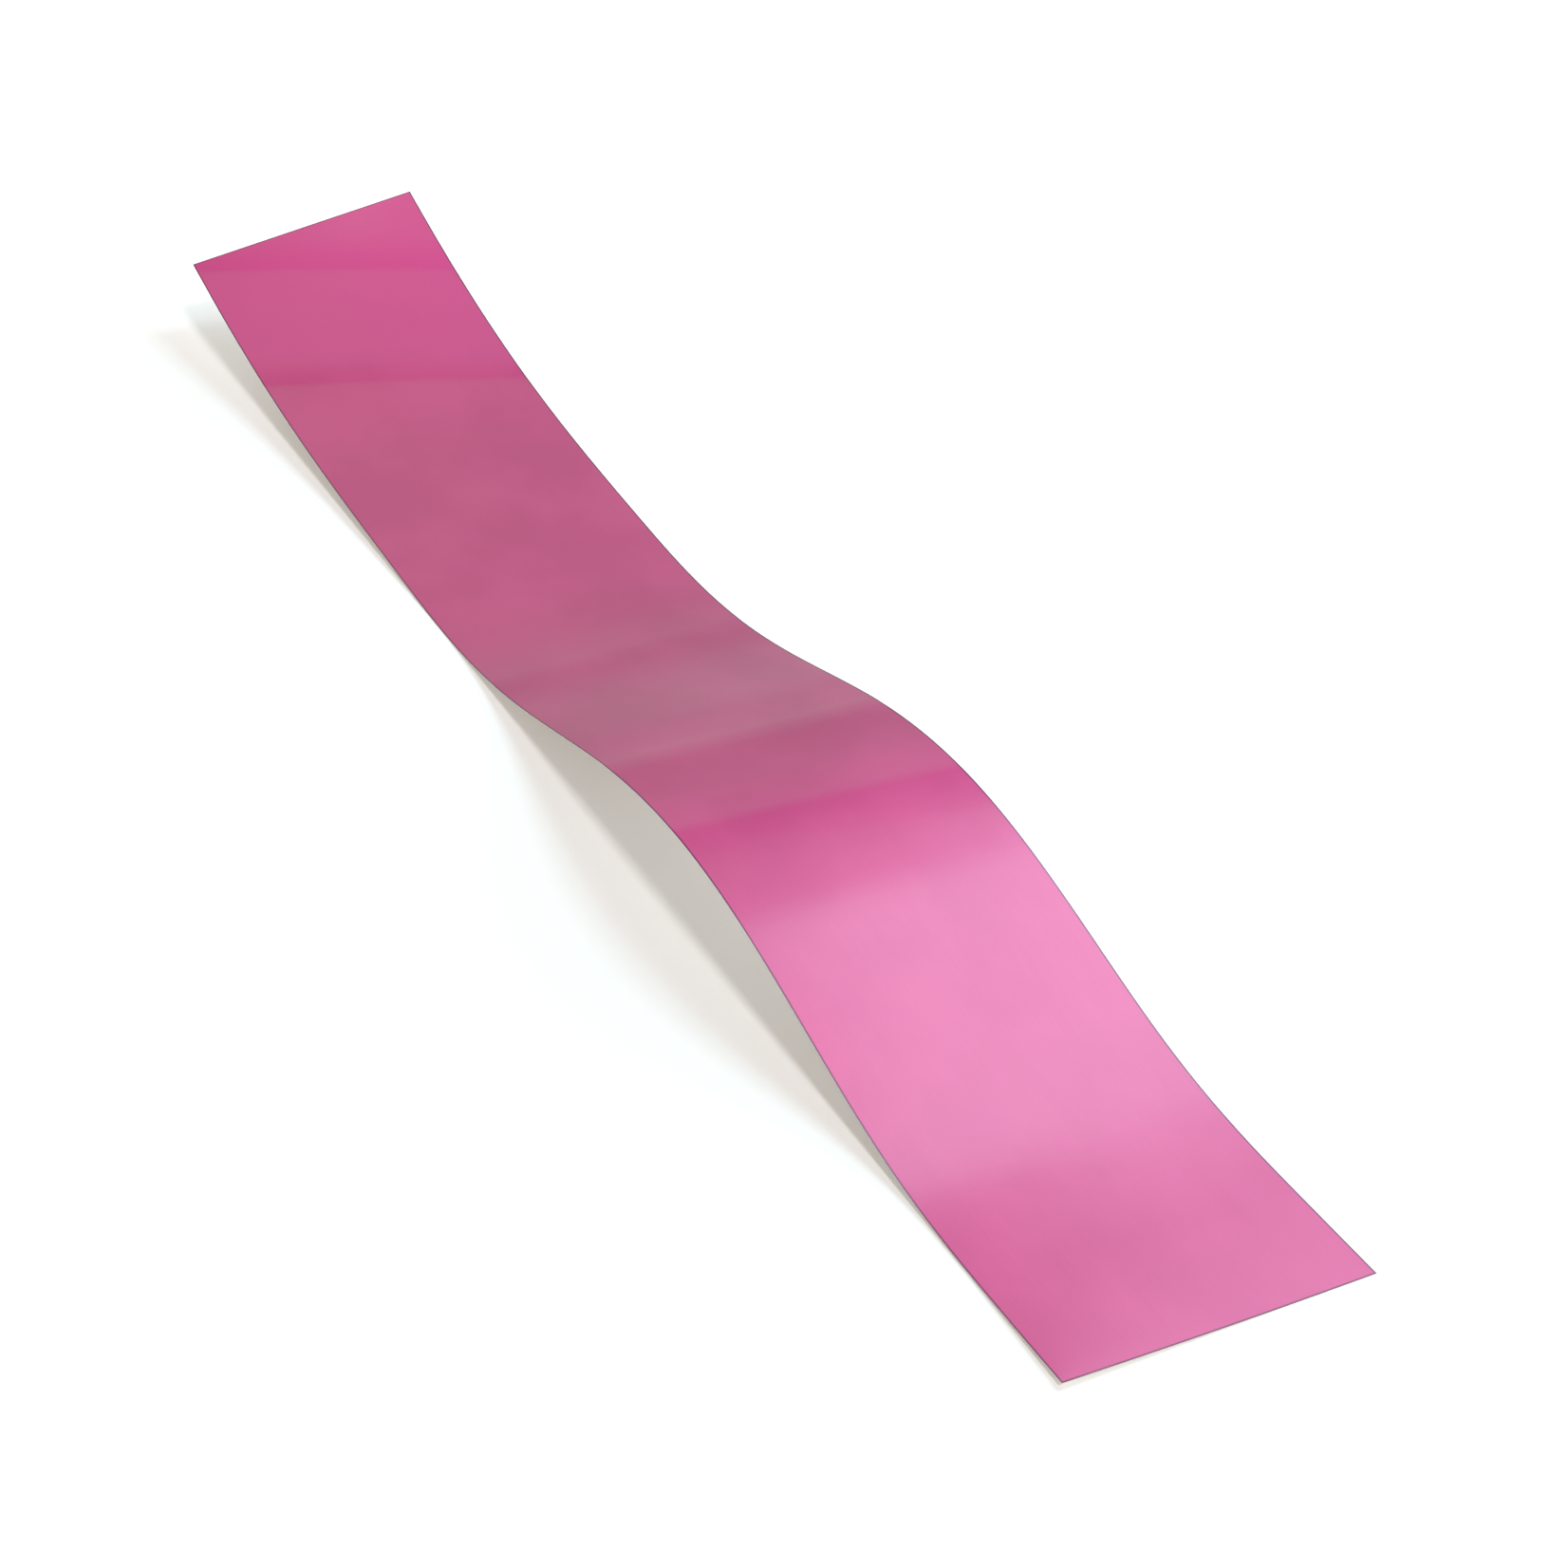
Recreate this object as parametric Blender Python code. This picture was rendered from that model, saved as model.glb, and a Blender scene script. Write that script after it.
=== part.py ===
"""A strip of self-adhesive pink metallised trim film on its paper release liner.

The strip is a laminate of three full-size layers, cut together: the release liner underneath, the
adhesive coat, and the face film on top. It lies relaxed on a table as one long wave: flat at the near
end, a low arch, a valley that touches the table, and a far end that lifts and twists a little.

Units are metres. +X runs from the near end to the far end, +Y to the strip's left, +Z up. The origin
is the bottom centre of the whole strip's bounding box, on the table.
"""

import math

import bmesh
import bpy
from mathutils import Vector

WIDTH = 0.127
LENGTH = 0.9144

LINER_THICKNESS = 0.00012
ADHESIVE_THICKNESS = 0.00003
FILM_THICKNESS = 0.00005
LAYER_GAP = 0.00001

# How the middle line rises and falls: (distance along the strip, slope in degrees). The slope eases
# from each entry to the next. The last one lies past the far end, where the lift is still steepening.
WAVE = (
    (0.040, 0.0),  # end of the flat near end
    (0.180, 15.5),  # steepest climb of the arch
    (0.410, -14.3),  # steepest fall of the arch
    (0.605, 3.5),  # beyond the valley, starting to lift
    (0.975, 17.4),  # steepest lift
)

# The strip twists about its middle line, from none at TWIST_START to FAR_TWIST at the far end. The
# twist is negative where the left edge hangs lower than the right one.
TWIST_START = 0.4 * LENGTH
FAR_TWIST = math.radians(-12)
TWIST_POWER = 3

SEGMENTS = 120
SEGMENT_LENGTH = LENGTH / SEGMENTS


def slope_at(distance):
    """The middle line's slope, in radians, at a distance along the strip."""
    slope = WAVE[0][1]
    for (start, from_slope), (end, to_slope) in zip(WAVE, WAVE[1:]):
        share = min(max((distance - start) / (end - start), 0), 1)
        slope += (to_slope - from_slope) * (1 - math.cos(math.pi * share)) / 2
    return math.radians(slope)


def twist_at(distance):
    """The twist about the middle line, in radians, at a distance along the strip."""
    share = max((distance - TWIST_START) / (LENGTH - TWIST_START), 0)
    return FAR_TWIST * share**TWIST_POWER


def cross_sections():
    """(middle of the underside, direction to the left edge, direction up) at each segment's ends."""
    middle = Vector((0, 0, 0))
    sections = []
    for i in range(SEGMENTS + 1):
        distance = i * SEGMENT_LENGTH
        slope, twist = slope_at(distance), twist_at(distance)
        level_left = Vector((0, 1, 0))
        level_up = Vector((-math.sin(slope), 0, math.cos(slope)))
        left = level_left * math.cos(twist) + level_up * math.sin(twist)
        up = level_up * math.cos(twist) - level_left * math.sin(twist)
        sections.append((middle.copy(), left, up))
        mid_slope = slope_at(distance + SEGMENT_LENGTH / 2)
        middle += SEGMENT_LENGTH * Vector((math.cos(mid_slope), 0, math.sin(mid_slope)))
    return centred(sections)


def centred(sections):
    """The same sections, moved along X so that the bounding box's middle is at the origin."""
    edge_x = [
        (middle + side * WIDTH / 2 * left).x
        for middle, left, _ in sections
        for side in (-1, 1)
    ]
    shift = Vector(((min(edge_x) + max(edge_x)) / 2, 0, 0))
    return [(middle - shift, left, up) for middle, left, up in sections]


def satin_film():
    """Pink metallised film under a clear face."""
    return surface("pink_metallised_film", (0.66, 0.10, 0.30), roughness=0.28, metallic=0.85)


def clear_adhesive():
    """Pressure-sensitive adhesive, clear and slightly yellow."""
    return surface("clear_adhesive", (0.90, 0.88, 0.80), roughness=0.15, metallic=0.0)


def liner_paper():
    """Smooth white release paper."""
    return surface("release_paper", (0.85, 0.84, 0.82), roughness=0.55, metallic=0.0)


def surface(name, colour, roughness, metallic):
    material = bpy.data.materials.new(name)
    material.use_nodes = True
    shader = material.node_tree.nodes["Principled BSDF"]
    shader.inputs["Base Color"].default_value = (*colour, 1)
    shader.inputs["Roughness"].default_value = roughness
    shader.inputs["Metallic"].default_value = metallic
    return material


def flat_strip():
    """A flat strip of one layer: X is the section number, Y is -1 to 1 across and Z is 0 or 1.

    The grid is cut into triangles before it is thickened, so every layer's upper and lower faces are
    split along the same diagonals and stay parallel once they are bent.
    """
    strip = bmesh.new()
    bmesh.ops.create_grid(strip, x_segments=SEGMENTS, y_segments=1, size=1)
    bmesh.ops.triangulate(strip, faces=strip.faces, quad_method="FIXED")
    upper = bmesh.ops.extrude_face_region(strip, geom=strip.faces)["geom"]
    for vertex in strip.verts:
        vertex.co.x = round((vertex.co.x + 1) / 2 * SEGMENTS)
        vertex.co.z = 0
    for element in upper:
        if isinstance(element, bmesh.types.BMVert):
            element.co.z = 1
    bmesh.ops.recalc_face_normals(strip, faces=strip.faces)
    return strip


def layer(name, underside, thickness, material, sections, parent):
    """One full-size layer of the laminate, its underside that far above the strip's underside."""
    strip = flat_strip()
    for vertex in strip.verts:
        middle, left, up = sections[round(vertex.co.x)]
        across = vertex.co.y * WIDTH / 2
        height = underside + vertex.co.z * thickness
        vertex.co = middle + across * left + height * up
    mesh = bpy.data.meshes.new(name)
    strip.to_mesh(mesh)
    strip.free()
    mesh.materials.append(material)
    obj = bpy.data.objects.new(name, mesh)
    obj.parent = parent
    bpy.context.scene.collection.objects.link(obj)
    return obj


def build():
    for obj in list(bpy.data.objects):
        bpy.data.objects.remove(obj)

    # The film and its adhesive lift straight up off the liner, so their parent sits on that axis.
    lift_off = bpy.data.objects.new("film_lift_off", None)
    bpy.context.scene.collection.objects.link(lift_off)

    sections = cross_sections()
    adhesive_underside = LINER_THICKNESS + LAYER_GAP
    film_underside = adhesive_underside + ADHESIVE_THICKNESS + LAYER_GAP
    layer("release_liner", 0, LINER_THICKNESS, liner_paper(), sections, parent=None)
    layer(
        "adhesive_layer",
        adhesive_underside,
        ADHESIVE_THICKNESS,
        clear_adhesive(),
        sections,
        parent=lift_off,
    )
    layer(
        "face_film", film_underside, FILM_THICKNESS, satin_film(), sections, parent=lift_off
    )


build()
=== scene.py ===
"""Looks of a pink metallised trim film on its paper release liner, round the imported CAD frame.

Each of the three layers gets a fine mesh of its own. It follows the CAD layer's edges, and adds the
soft crosswise creases and the lifted corner of a sheet that has been unrolled.

Units are metres, as in the frame: +X runs from the strip's near end to its far end, +Y to its left.
"""

import math

import bpy
import numpy as np
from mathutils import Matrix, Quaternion, Vector

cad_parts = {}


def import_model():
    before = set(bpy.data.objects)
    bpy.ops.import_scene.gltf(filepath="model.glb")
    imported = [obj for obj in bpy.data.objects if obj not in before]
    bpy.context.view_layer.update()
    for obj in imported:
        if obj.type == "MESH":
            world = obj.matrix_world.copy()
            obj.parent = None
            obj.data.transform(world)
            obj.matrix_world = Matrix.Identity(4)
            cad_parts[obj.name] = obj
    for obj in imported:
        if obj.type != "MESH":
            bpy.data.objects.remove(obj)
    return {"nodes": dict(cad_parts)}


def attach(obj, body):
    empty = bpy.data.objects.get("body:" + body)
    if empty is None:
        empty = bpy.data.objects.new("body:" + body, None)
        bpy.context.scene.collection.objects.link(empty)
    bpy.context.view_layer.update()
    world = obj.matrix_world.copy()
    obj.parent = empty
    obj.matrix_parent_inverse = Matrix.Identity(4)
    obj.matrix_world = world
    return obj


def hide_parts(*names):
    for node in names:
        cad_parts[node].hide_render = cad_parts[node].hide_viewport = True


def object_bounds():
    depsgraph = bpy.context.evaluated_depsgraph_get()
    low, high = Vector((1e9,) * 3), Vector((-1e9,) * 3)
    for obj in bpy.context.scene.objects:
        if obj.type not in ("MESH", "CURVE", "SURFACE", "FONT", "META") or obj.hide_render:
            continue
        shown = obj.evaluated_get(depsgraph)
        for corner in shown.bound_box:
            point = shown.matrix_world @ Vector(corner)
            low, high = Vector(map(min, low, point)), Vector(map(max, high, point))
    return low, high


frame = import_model()
cad_low, cad_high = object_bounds()

# Where the strip lies, from the frame.
NEAR_X = cad_low.x
HALF_WIDTH = (cad_high.y - cad_low.y) / 2

# Cells of each fine layer mesh, and the angle from which its edges are shaded sharp.
ALONG = 560
ACROSS = 40
SHARP_ANGLE = math.radians(30)

# The crosswise creases. The slant is how much farther along the strip a crease is at the left edge
# than on the middle line. The change of sheen is added to SHEEN, the clear face's gloss elsewhere.
CREASES = (
    # place, slant, fade before, fade after, height, change of sheen
    (0.292, 0.002, 0.034, 0.009, 0.00004, -0.82),
    (0.352, 0.000, 0.034, 0.010, 0.0, -0.26),
    (0.366, 0.000, 0.005, 0.010, 0.00008, 0.16),
    (0.392, -0.002, 0.018, 0.020, 0.0, -0.10),
    (0.480, -0.005, 0.030, 0.012, 0.0, -0.16),
    (0.496, -0.005, 0.006, 0.050, 0.00007, 0.18),
    (0.774, 0.024, 0.006, 0.024, -0.00010, -0.66),
    (0.880, 0.030, 0.007, 0.034, -0.00010, -0.66),
)
SHEEN = 0.82

# The near left corner stands up a little.
CORNER_LIFT = 0.0023
CORNER_REACH = 0.12

# The film's face: two tints mixed by a faint cloudiness, another one past the first of the slanting
# creases, and a dark line along the cut. A fade is two distances, past the crease or from the cut.
PINK = (0.745, 0.115, 0.306, 1)
LIGHTER_PINK = (0.795, 0.130, 0.333, 1)
FAR_PINK = (0.82, 0.114, 0.354, 1)
FAR_PINK_CREASE = CREASES[-2]
FAR_PINK_FADE = (-0.004, 0.030)
RIM_PINK = (0.24, 0.055, 0.13, 1)
RIM_FADE = (0.0003, 0.0009)

# Most noise lies within this range.
USUAL_NOISE = (0.3, 0.7)

# The floor is a hair below the strip. Its faint glow, painted light, grows between two distances
# from the origin.
FLOOR_SIZE = 40
FLOOR_GAP = 0.00002
# The glow stands in for lamplight; weaker near the strip, it leaves a painted shade round the
# strip.
FLOOR_PAINTED_LIGHT_DISTANCES = (0.40, 0.62)
FLOOR_PAINTED_LIGHT_STRENGTHS = (0.13, 0.22)

# The room round the strip: the sine of the elevation, and the level there.
ROOM_LEVELS = (
    (0.0, 0.61),
    (0.20, 0.60),
    (0.30, 0.54),
    (0.48, 0.50),
    (0.60, 0.50),
    (0.75, 0.44),
    (1.0, 0.44),
)
ROOM_TINT = (1.0, 0.985, 0.94)

# The lights. An x counts from the strip's near end, and a radiance is a panel's own brightness.
WHITE = (1.0, 1.0, 1.0)
FAINTLY_COOL = (0.78, 0.97, 1.0)
COOL = (0.64, 0.95, 1.07)
DOWN = Vector((0, 0, -1))

# The softbox on the right: panels at one height, brighter where they overlap.
SOFTBOX_HEIGHT = 1.2
SOFTBOX_PANELS = (
    # low x, high x, low y, high y, radiance
    (0.09, 0.88, -1.31, -0.45, 2.3),
    (0.10, 0.78, -1.31, -0.55, 4.8),
    (0.35, 0.74, -1.10, -0.64, 4.4),
    (0.88, 1.20, -1.31, -0.74, 1.1),
)

# A fill over the far end.
FILL_PLACE = (0.95, 0.10, 0.62)
FILL_SIZE = (0.45, 0.30)
FILL_RADIANCE = 1.0

# A low, wide light on the right casts the soft shade along the left edge. It isn't reflected, or it
# would burn out the near end in the views from behind.
SIDE_TARGET = (0.45, 0.0, 0.0)
SIDE_OFFSET = (0.0, -1.9, 0.85)
SIDE_SIZE = (1.8, 0.8)
SIDE_RADIANCE = 4.6

# A small lamp far behind the near end draws the crisp shade under the arch.
KEY_TARGET = (0.35, 0.04, 0.0)
KEY_DISTANCE = 7.0
KEY_ELEVATION = math.radians(50)
KEY_SIZE = (0.9, 0.9)
KEY_RADIANCE = 79.0

# The camera. Its x counts from the near end, its heading turns left from +X, and its tilt is
# downwards. The lens and the sensor are in millimetres.
CAMERA_PLACE = (-0.5691, 0.4802, 0.6827)
CAMERA_HEADING = math.radians(-28.33)
CAMERA_TILT = math.radians(32.90)
CAMERA_ROLL = math.radians(-1.90)
CAMERA_LENS = 67.55
CAMERA_SENSOR = 36
CAMERA_CLIP_END = 20


# ---------------------------------------------------------------- the strip's shape, from the frame


def edge_lines(node, upward):
    """The left and right edges of a CAD layer's upper or lower face, from the near end on."""
    mesh = frame["nodes"][node].data
    points = {
        tuple(round(c, 7) for c in mesh.vertices[i].co)
        for face in mesh.polygons
        if (face.normal.z > 0.5 if upward else face.normal.z < -0.5)
        for i in face.vertices
    }
    left = np.array(sorted(p for p in points if p[1] > 0))
    right = np.array(sorted(p for p in points if p[1] < 0))
    return left, right


def smooth_resample(line, count):
    """count + 1 points at equal distances on a smooth curve through the line's points."""
    reach = np.r_[0, np.cumsum(np.linalg.norm(np.diff(line, axis=0), axis=1))]
    tangent = np.gradient(line, reach, axis=0, edge_order=2)
    at = np.linspace(0, reach[-1], count + 1)
    i = np.clip(np.searchsorted(reach, at, side="right") - 1, 0, len(line) - 2)
    gap = (reach[i + 1] - reach[i])[:, None]
    t = (at - reach[i])[:, None] / gap
    return (
        (2 * t**3 - 3 * t**2 + 1) * line[i]
        + (t**3 - 2 * t**2 + t) * gap * tangent[i]
        + (3 * t**2 - 2 * t**3) * line[i + 1]
        + (t**3 - t**2) * gap * tangent[i + 1]
    )


def face_grid(node, upward):
    """Points of a layer's upper or lower face: [section along][place across, right to left]."""
    left, right = (smooth_resample(line, ALONG) for line in edge_lines(node, upward))
    share = np.linspace(0, 1, ACROSS + 1)[None, :, None]
    return right[:, None] * (1 - share) + left[:, None] * share


def grid_normals(grid):
    normal = np.cross(np.gradient(grid, axis=0), np.gradient(grid, axis=1))
    return normal / np.linalg.norm(normal, axis=2, keepdims=True)


def middle_length(grid):
    return float(np.linalg.norm(np.diff(grid[:, ACROSS // 2], axis=0), axis=1).sum())


STRIP_LENGTH = middle_length(face_grid("face_film", upward=True))


def relief():
    """Height of the creases and of the lifted corner over the CAD surface, on the face grid."""
    distance = np.linspace(0, STRIP_LENGTH, ALONG + 1)[:, None]
    across = np.linspace(-1, 1, ACROSS + 1)[None, :]
    to_corner = np.hypot(distance, (1 - across) * HALF_WIDTH)
    height = CORNER_LIFT * np.clip(1 - to_corner / CORNER_REACH, 0, 1) ** 2
    for place, slant, before, after, rise, _ in CREASES:
        past = distance - (place + slant * across)
        height = height + rise * np.exp(-((past / np.where(past < 0, before, after)) ** 2))
    return height


# ---------------------------------------------------------------- meshes


def layer_mesh(name, node, body, materials):
    """A closed thin mesh in a CAD layer's place. materials are its upper, lower and cut faces."""
    lower, upper = face_grid(node, upward=False), face_grid(node, upward=True)
    rise = relief()[:, :, None]
    normal = grid_normals(lower)
    lower, upper = lower + rise * normal, upper + rise * normal

    rows, columns = ALONG + 1, ACROSS + 1
    count = rows * columns
    points = np.concatenate([lower.reshape(-1, 3), upper.reshape(-1, 3)])
    index = np.arange(count).reshape(rows, columns)
    low = np.stack([index[:-1, :-1], index[:-1, 1:], index[1:, 1:], index[1:, :-1]], -1)
    low = low.reshape(-1, 4)
    rim = np.r_[index[0, :], index[1:, -1], index[-1, -2::-1], index[-2:0:-1, 0]]
    wall = np.stack([rim, rim + count, np.roll(rim, -1) + count, np.roll(rim, -1)], -1)
    faces = np.concatenate([low[:, ::-1] + count, low, wall])

    mesh = bpy.data.meshes.new(name)
    mesh.from_pydata(points.tolist(), [], faces.tolist())
    for material in materials:
        mesh.materials.append(material)
    kinds = np.repeat([0, 1, 2], [len(low), len(low), len(wall)])
    mesh.polygons.foreach_set("material_index", kinds.astype(np.int32))
    mesh.polygons.foreach_set("use_smooth", kinds != 2)

    # The UV map holds metres along the strip and across it, for the materials' patterns.
    distance = np.repeat(np.linspace(0, STRIP_LENGTH, rows), columns)
    across = np.tile(np.linspace(-HALF_WIDTH, HALF_WIDTH, columns), rows)
    place = np.stack([np.tile(distance, 2), np.tile(across, 2)], -1)
    loops = np.empty(len(mesh.loops), np.int32)
    mesh.loops.foreach_get("vertex_index", loops)
    mesh.uv_layers.new(name="strip").data.foreach_set("uv", place[loops].ravel())
    mesh.update()
    mesh.set_sharp_from_angle(angle=SHARP_ANGLE)

    obj = bpy.data.objects.new(name, mesh)
    bpy.context.scene.collection.objects.link(obj)
    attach(obj, body)
    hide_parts(node)
    return obj


# ---------------------------------------------------------------- materials


class Nodes:
    """Short calls for building one material's node tree."""

    def __init__(self, name):
        self.material = bpy.data.materials.new(name)
        self.material.use_nodes = True
        self.tree = self.material.node_tree
        self.shader = self.tree.nodes["Principled BSDF"]

    def add(self, kind, settings=(), **inputs):
        node = self.tree.nodes.new(kind)
        for key, value in dict(settings).items():
            setattr(node, key, value)
        self.fill(node, inputs)
        return node

    def fill(self, node, inputs):
        for key, value in inputs.items():
            self.put(node.inputs[key.replace("_", " ")], value)

    def put(self, socket, value):
        if isinstance(value, bpy.types.NodeSocket):
            self.tree.links.new(value, socket)
        else:
            socket.default_value = value

    def set(self, **values):
        self.fill(self.shader, values)

    def math(self, operation, *values):
        node = self.tree.nodes.new("ShaderNodeMath")
        node.operation = operation
        for socket, value in zip(node.inputs, values):
            self.put(socket, value)
        return node.outputs[0]

    def remap(self, value, low, high, to_low, to_high):
        """value eased from low..high to to_low..to_high, and held there beyond."""
        node = self.add("ShaderNodeMapRange", {"interpolation_type": "SMOOTHSTEP"}, Value=value)
        ends = {"From Min": low, "From Max": high, "To Min": to_low, "To Max": to_high}
        for key, number in ends.items():
            node.inputs[key].default_value = number
        return node.outputs[0]

    def mix(self, share, a, b):
        node = self.add("ShaderNodeMix", {"data_type": "RGBA"})
        self.put(node.inputs[0], share)
        self.put(node.inputs[6], a)
        self.put(node.inputs[7], b)
        return node.outputs[2]

    def strip_place(self):
        """(distance along, place across) in metres, and both as one vector."""
        uv = self.add("ShaderNodeUVMap", {"uv_map": "strip"}).outputs[0]
        parts = self.add("ShaderNodeSeparateXYZ", Vector=uv)
        return parts.outputs[0], parts.outputs[1], uv

    def noise(self, vector, scale, detail=2.0, roughness=0.5):
        """Noise from 0 to 1; scale is (along, across) in cycles per metre."""
        stretched = self.add("ShaderNodeMapping", Vector=vector)
        stretched.inputs["Scale"].default_value = (*scale, 1)
        node = self.add(
            "ShaderNodeTexNoise",
            {"noise_dimensions": "2D"},
            Vector=stretched.outputs[0],
            Scale=1,
            Detail=detail,
            Roughness=roughness,
        )
        return node.outputs[0]

    def bump(self, height, distance, strength=1.0):
        node = self.add("ShaderNodeBump", Height=height, Distance=distance, Strength=strength)
        return node.outputs[0]

    def past_crease(self, along, across, crease):
        """Distance past a crease, from its place and slant."""
        place, slant = crease[:2]
        line = self.math("MULTIPLY_ADD", across, slant / HALF_WIDTH, place)
        return self.math("SUBTRACT", along, line)

    def on_crease(self, along, across, crease):
        """1 on a crease, fading to 0 over the distances before and after it."""
        before, after = crease[2:4]
        past = self.past_crease(along, across, crease)
        rise = self.remap(past, -before, 0, 0, 1)
        fall = self.remap(past, 0, after, 1, 0)
        return self.math("MULTIPLY", rise, fall)


def pink_face():
    """Pink metallised polyester, satin under a clear glossy face."""
    n = Nodes("pink_metallised_film")
    along, across, place = n.strip_place()
    cloud = n.noise(place, (14, 18), detail=3)
    web = n.noise(place, (30, 900), detail=2)
    grain = n.noise(place, (2600, 2600), detail=1)

    tint = n.mix(n.remap(cloud, *USUAL_NOISE, 0, 1), PINK, LIGHTER_PINK)
    past = n.past_crease(along, across, FAR_PINK_CREASE)
    tint = n.mix(n.remap(past, *FAR_PINK_FADE, 0, 1), tint, FAR_PINK)

    sheen = SHEEN
    for crease in CREASES:
        change = crease[-1]
        sheen = n.math("MULTIPLY_ADD", n.on_crease(along, across, crease), change, sheen)

    edge_gap = n.math("SUBTRACT", HALF_WIDTH, n.math("ABSOLUTE", across))
    end_gap = n.math("MINIMUM", along, n.math("SUBTRACT", STRIP_LENGTH, along))
    rim = n.remap(n.math("MINIMUM", edge_gap, end_gap), *RIM_FADE, 1, 0)

    satin = n.remap(web, *USUAL_NOISE, 0.54, 0.56)
    unevenness = n.remap(cloud, 0, 1, -0.02, 0.02)
    n.set(
        Base_Color=n.mix(rim, tint, RIM_PINK),
        Metallic=1.0,
        Roughness=n.math("ADD", satin, unevenness),
        Specular_Tint=(0.03, 0.40, 0.30, 1),
        Coat_Weight=sheen,
        Coat_Roughness=0.18,
        Coat_IOR=1.68,
        Normal=n.bump(grain, 0.00001, 0.35),
    )
    return n.material


def silver_back():
    """The bare aluminium coat on the film's back."""
    n = Nodes("silver_film_back")
    _, _, place = n.strip_place()
    web = n.noise(place, (20, 700), detail=2)
    n.set(
        Base_Color=(0.80, 0.80, 0.82, 1),
        Metallic=1.0,
        Roughness=n.remap(web, *USUAL_NOISE, 0.24, 0.34),
        Normal=n.bump(n.noise(place, (900, 900)), 0.00001, 0.4),
    )
    return n.material


def film_edge():
    """The film's razor-cut edge."""
    n = Nodes("film_cut_edge")
    _, _, place = n.strip_place()
    fray = n.noise(place, (1500, 1500), detail=2)
    n.set(
        Base_Color=n.mix(fray, (0.20, 0.06, 0.12, 1), (0.42, 0.14, 0.24, 1)),
        Metallic=0.3,
        Roughness=0.45,
    )
    return n.material


def clear_adhesive():
    """Clear acrylic adhesive with the faint orange peel that coating leaves."""
    n = Nodes("clear_adhesive")
    _, _, place = n.strip_place()
    peel = n.noise(place, (420, 420), detail=2)
    n.set(
        Base_Color=n.mix(n.noise(place, (25, 25)), (0.95, 0.93, 0.86, 1), (0.98, 0.97, 0.93, 1)),
        Roughness=n.remap(peel, *USUAL_NOISE, 0.10, 0.20),
        Transmission_Weight=0.85,
        IOR=1.47,
        Normal=n.bump(peel, 0.00004, 0.6),
    )
    return n.material


def liner_paper(name, roughness, coat):
    """White release paper: fine fibres, a faint cloudiness and, with a coat, silicone gloss."""
    n = Nodes(name)
    _, _, place = n.strip_place()
    fibres = n.noise(place, (1400, 3400), detail=4, roughness=0.65)
    cloud = n.noise(place, (45, 60), detail=4)
    from_cloud = n.remap(cloud, *USUAL_NOISE, 0.0, 0.7)
    from_fibres = n.remap(fibres, *USUAL_NOISE, 0.0, 0.3)
    shade = n.math("ADD", from_cloud, from_fibres)
    n.set(
        Base_Color=n.mix(shade, (0.83, 0.82, 0.79, 1), (0.90, 0.895, 0.88, 1)),
        Roughness=n.remap(fibres, *USUAL_NOISE, roughness - 0.05, roughness + 0.05),
        Coat_Weight=coat,
        Coat_Roughness=0.25,
        Normal=n.bump(fibres, 0.00003, 0.5),
    )
    return n.material


# ---------------------------------------------------------------- the three layers


def build_strip():
    paper = (
        liner_paper("release_paper_silicone_face", 0.42, coat=0.6),
        liner_paper("release_paper_back", 0.62, coat=0.0),
        liner_paper("release_paper_cut_edge", 0.8, coat=0.0),
    )
    liner = layer_mesh("release_liner_sheet", "release_liner", "liner", paper)

    adhesive = clear_adhesive()
    glue = layer_mesh("adhesive_coat", "adhesive_layer", "film", (adhesive, adhesive, adhesive))

    foil = (pink_face(), silver_back(), film_edge())
    film = layer_mesh("pink_film_sheet", "face_film", "film", foil)


# ---------------------------------------------------------------- studio


def from_near_end(place):
    """A vector in the frame, for a place whose x counts from the strip's near end."""
    return Vector((NEAR_X, 0, 0)) + Vector(place)


def floor():
    """A plain pale floor with painted light: a warm glow, stronger away from the strip, leaves
    painted shade near it.
    """
    n = Nodes("pale_floor_painted_light")
    place = n.add("ShaderNodeNewGeometry").outputs["Position"]
    away = n.add("ShaderNodeVectorMath", {"operation": "LENGTH"}, Vector=place).outputs["Value"]
    n.set(
        Base_Color=(0.825, 0.81, 0.81, 1),
        Roughness=0.9,
        Specular_IOR_Level=0.0,
        Emission_Color=(1, 0.86, 0.72, 1),
        Emission_Strength=n.remap(away, *FLOOR_PAINTED_LIGHT_DISTANCES, *FLOOR_PAINTED_LIGHT_STRENGTHS),
    )
    # The painted light's glow is too faint to be worth sampling as a light.
    n.material.cycles.emission_sampling = "NONE"
    bpy.ops.mesh.primitive_plane_add(size=FLOOR_SIZE, location=(0, 0, cad_low.z - FLOOR_GAP))
    plane = bpy.context.object
    plane.name = "studio_floor"
    plane.data.materials.append(n.material)


def world():
    """A dim, slightly warm room, brighter towards the horizon."""
    room = bpy.data.worlds.new("studio")
    bpy.context.scene.world = room
    room.use_nodes = True
    tree = room.node_tree
    background = tree.nodes["Background"]
    place = tree.nodes.new("ShaderNodeTexCoord")
    parts = tree.nodes.new("ShaderNodeSeparateXYZ")
    ramp = tree.nodes.new("ShaderNodeValToRGB")
    tree.links.new(place.outputs["Generated"], parts.inputs[0])
    tree.links.new(parts.outputs[2], ramp.inputs[0])
    tree.links.new(ramp.outputs[0], background.inputs[0])
    stops = ramp.color_ramp.elements
    while len(stops) < len(ROOM_LEVELS):
        stops.new(0.5)
    for stop, (at, level) in zip(stops, ROOM_LEVELS):
        stop.position = at
        stop.color = (*(level * share for share in ROOM_TINT), 1)
    background.inputs[1].default_value = 1.0


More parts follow.
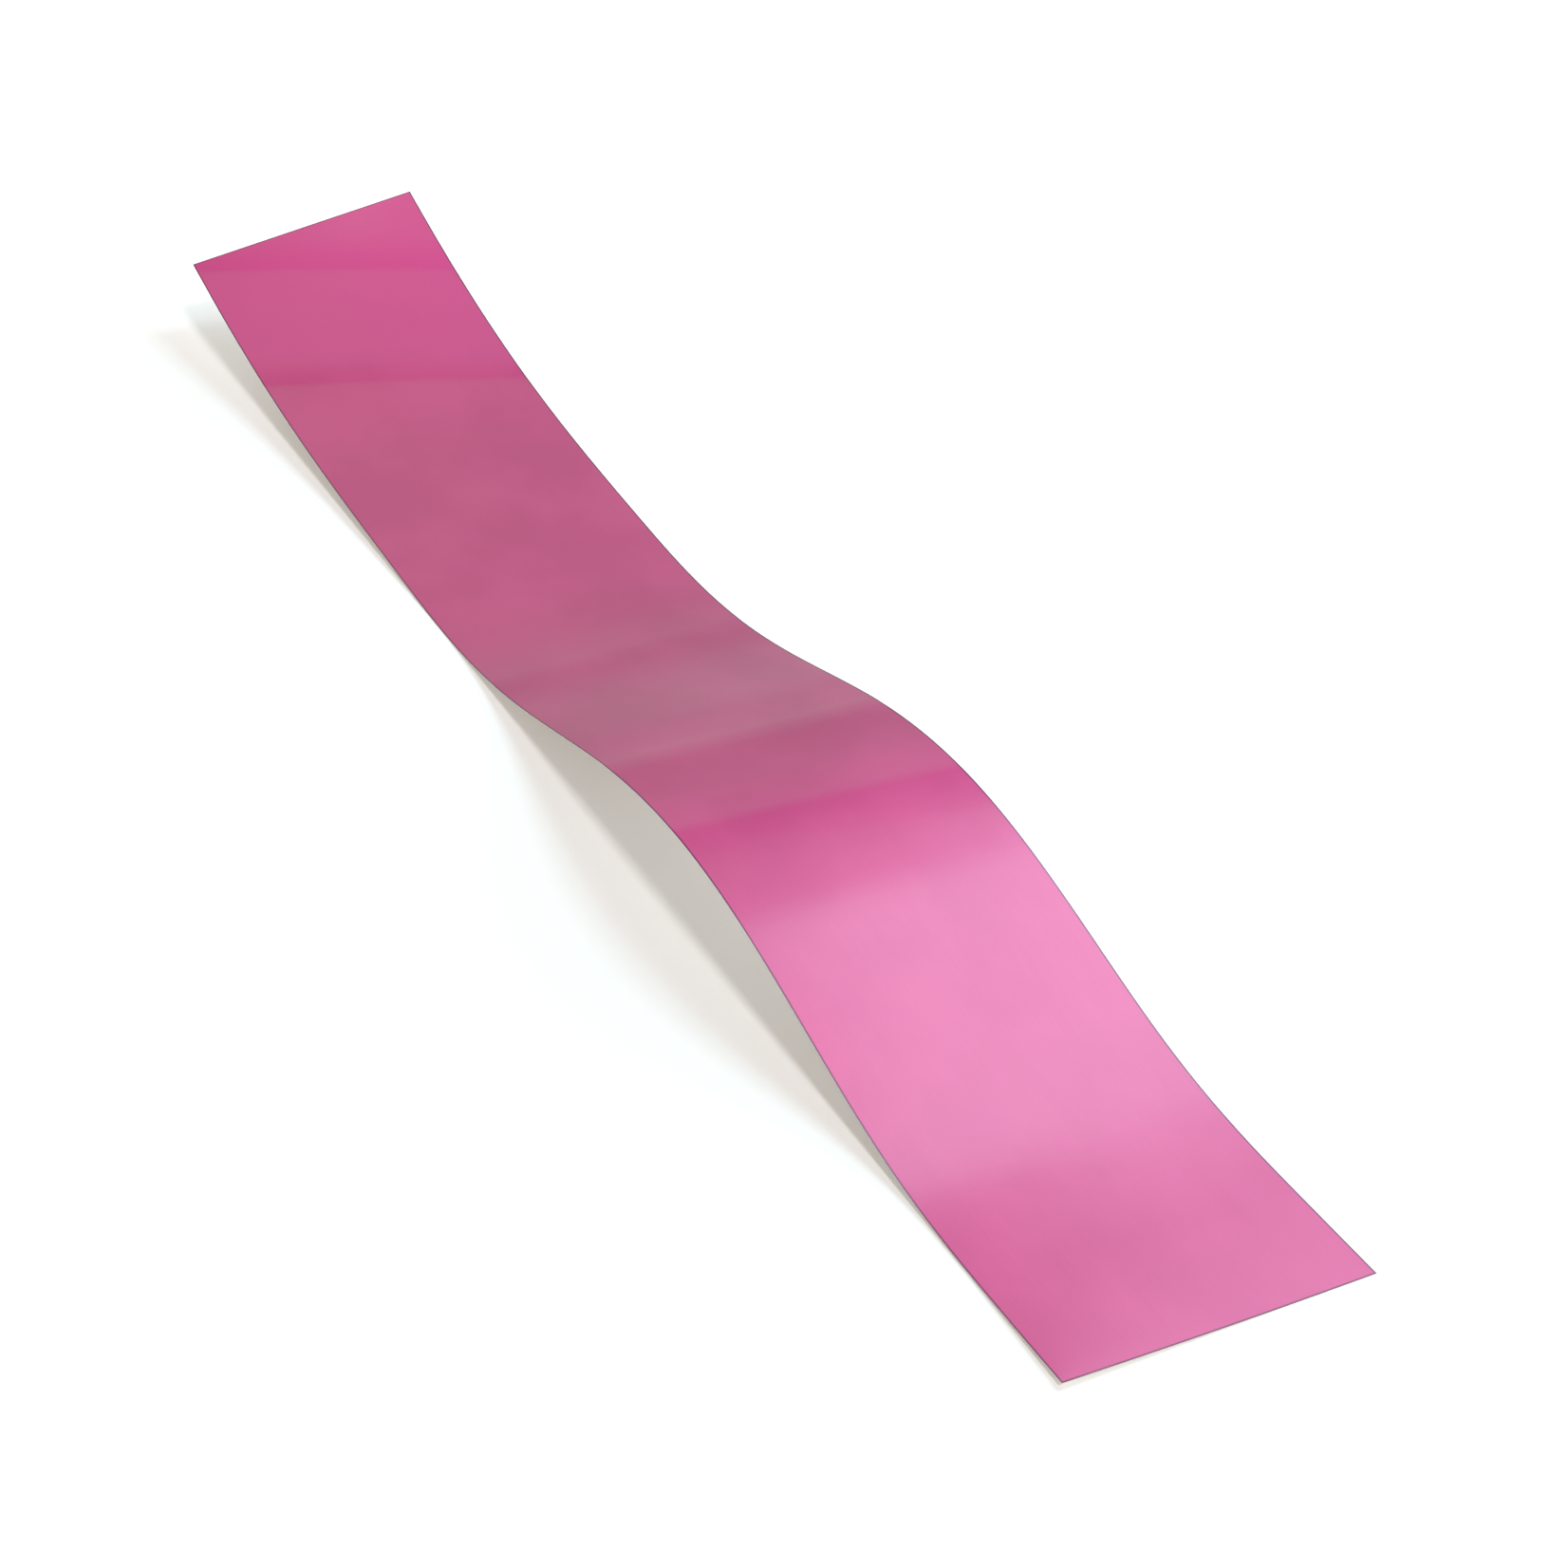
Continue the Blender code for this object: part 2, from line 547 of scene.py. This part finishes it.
def camera():
    """The photo's view of the strip."""
    data = bpy.data.cameras.new("camera")
    data.lens = CAMERA_LENS
    data.sensor_width = CAMERA_SENSOR
    data.clip_end = CAMERA_CLIP_END
    view = bpy.data.objects.new("camera", data)
    bpy.context.scene.collection.objects.link(view)
    view.location = from_near_end(CAMERA_PLACE)
    forward = Vector(
        (
            math.cos(CAMERA_HEADING) * math.cos(CAMERA_TILT),
            math.sin(CAMERA_HEADING) * math.cos(CAMERA_TILT),
            -math.sin(CAMERA_TILT),
        )
    )
    level_view = forward.to_track_quat("-Z", "Y")
    view.rotation_mode = "QUATERNION"
    view.rotation_quaternion = level_view @ Quaternion((0, 0, 1), -CAMERA_ROLL)
    bpy.context.scene.camera = view


def area_light(name, place, aim, size, radiance, colour):
    """A rectangular light; aim is the direction that it shines in."""
    data = bpy.data.lights.new(name, "AREA")
    data.shape = "RECTANGLE"
    data.size, data.size_y = size
    data.energy = radiance * math.pi * size[0] * size[1]
    data.color = colour
    light = bpy.data.objects.new(name, data)
    light.location = place
    light.rotation_mode = "QUATERNION"
    light.rotation_quaternion = aim.to_track_quat("-Z", "Y")
    light.visible_camera = False
    bpy.context.scene.collection.objects.link(light)
    return light


def lights():
    for number, (x_low, x_high, y_low, y_high, radiance) in enumerate(SOFTBOX_PANELS):
        middle = ((x_low + x_high) / 2, (y_low + y_high) / 2, SOFTBOX_HEIGHT)
        size = (x_high - x_low, y_high - y_low)
        area_light(f"softbox_{number}", from_near_end(middle), DOWN, size, radiance, COOL)

    area_light("far_fill", from_near_end(FILL_PLACE), DOWN, FILL_SIZE, FILL_RADIANCE, WHITE)

    offset = Vector(SIDE_OFFSET)
    place = from_near_end(SIDE_TARGET) + offset
    side = area_light("low_side_light", place, -offset, SIDE_SIZE, SIDE_RADIANCE, FAINTLY_COOL)
    side.visible_glossy = False

    offset = KEY_DISTANCE * Vector((-math.cos(KEY_ELEVATION), 0, math.sin(KEY_ELEVATION)))
    place = from_near_end(KEY_TARGET) + offset
    area_light("key_lamp", place, -offset, KEY_SIZE, KEY_RADIANCE, WHITE)


def studio():
    floor()
    world()
    camera()
    lights()
    view_settings = bpy.context.scene.view_settings
    view_settings.view_transform = "Standard"
    view_settings.look = "None"


build_strip()
studio()
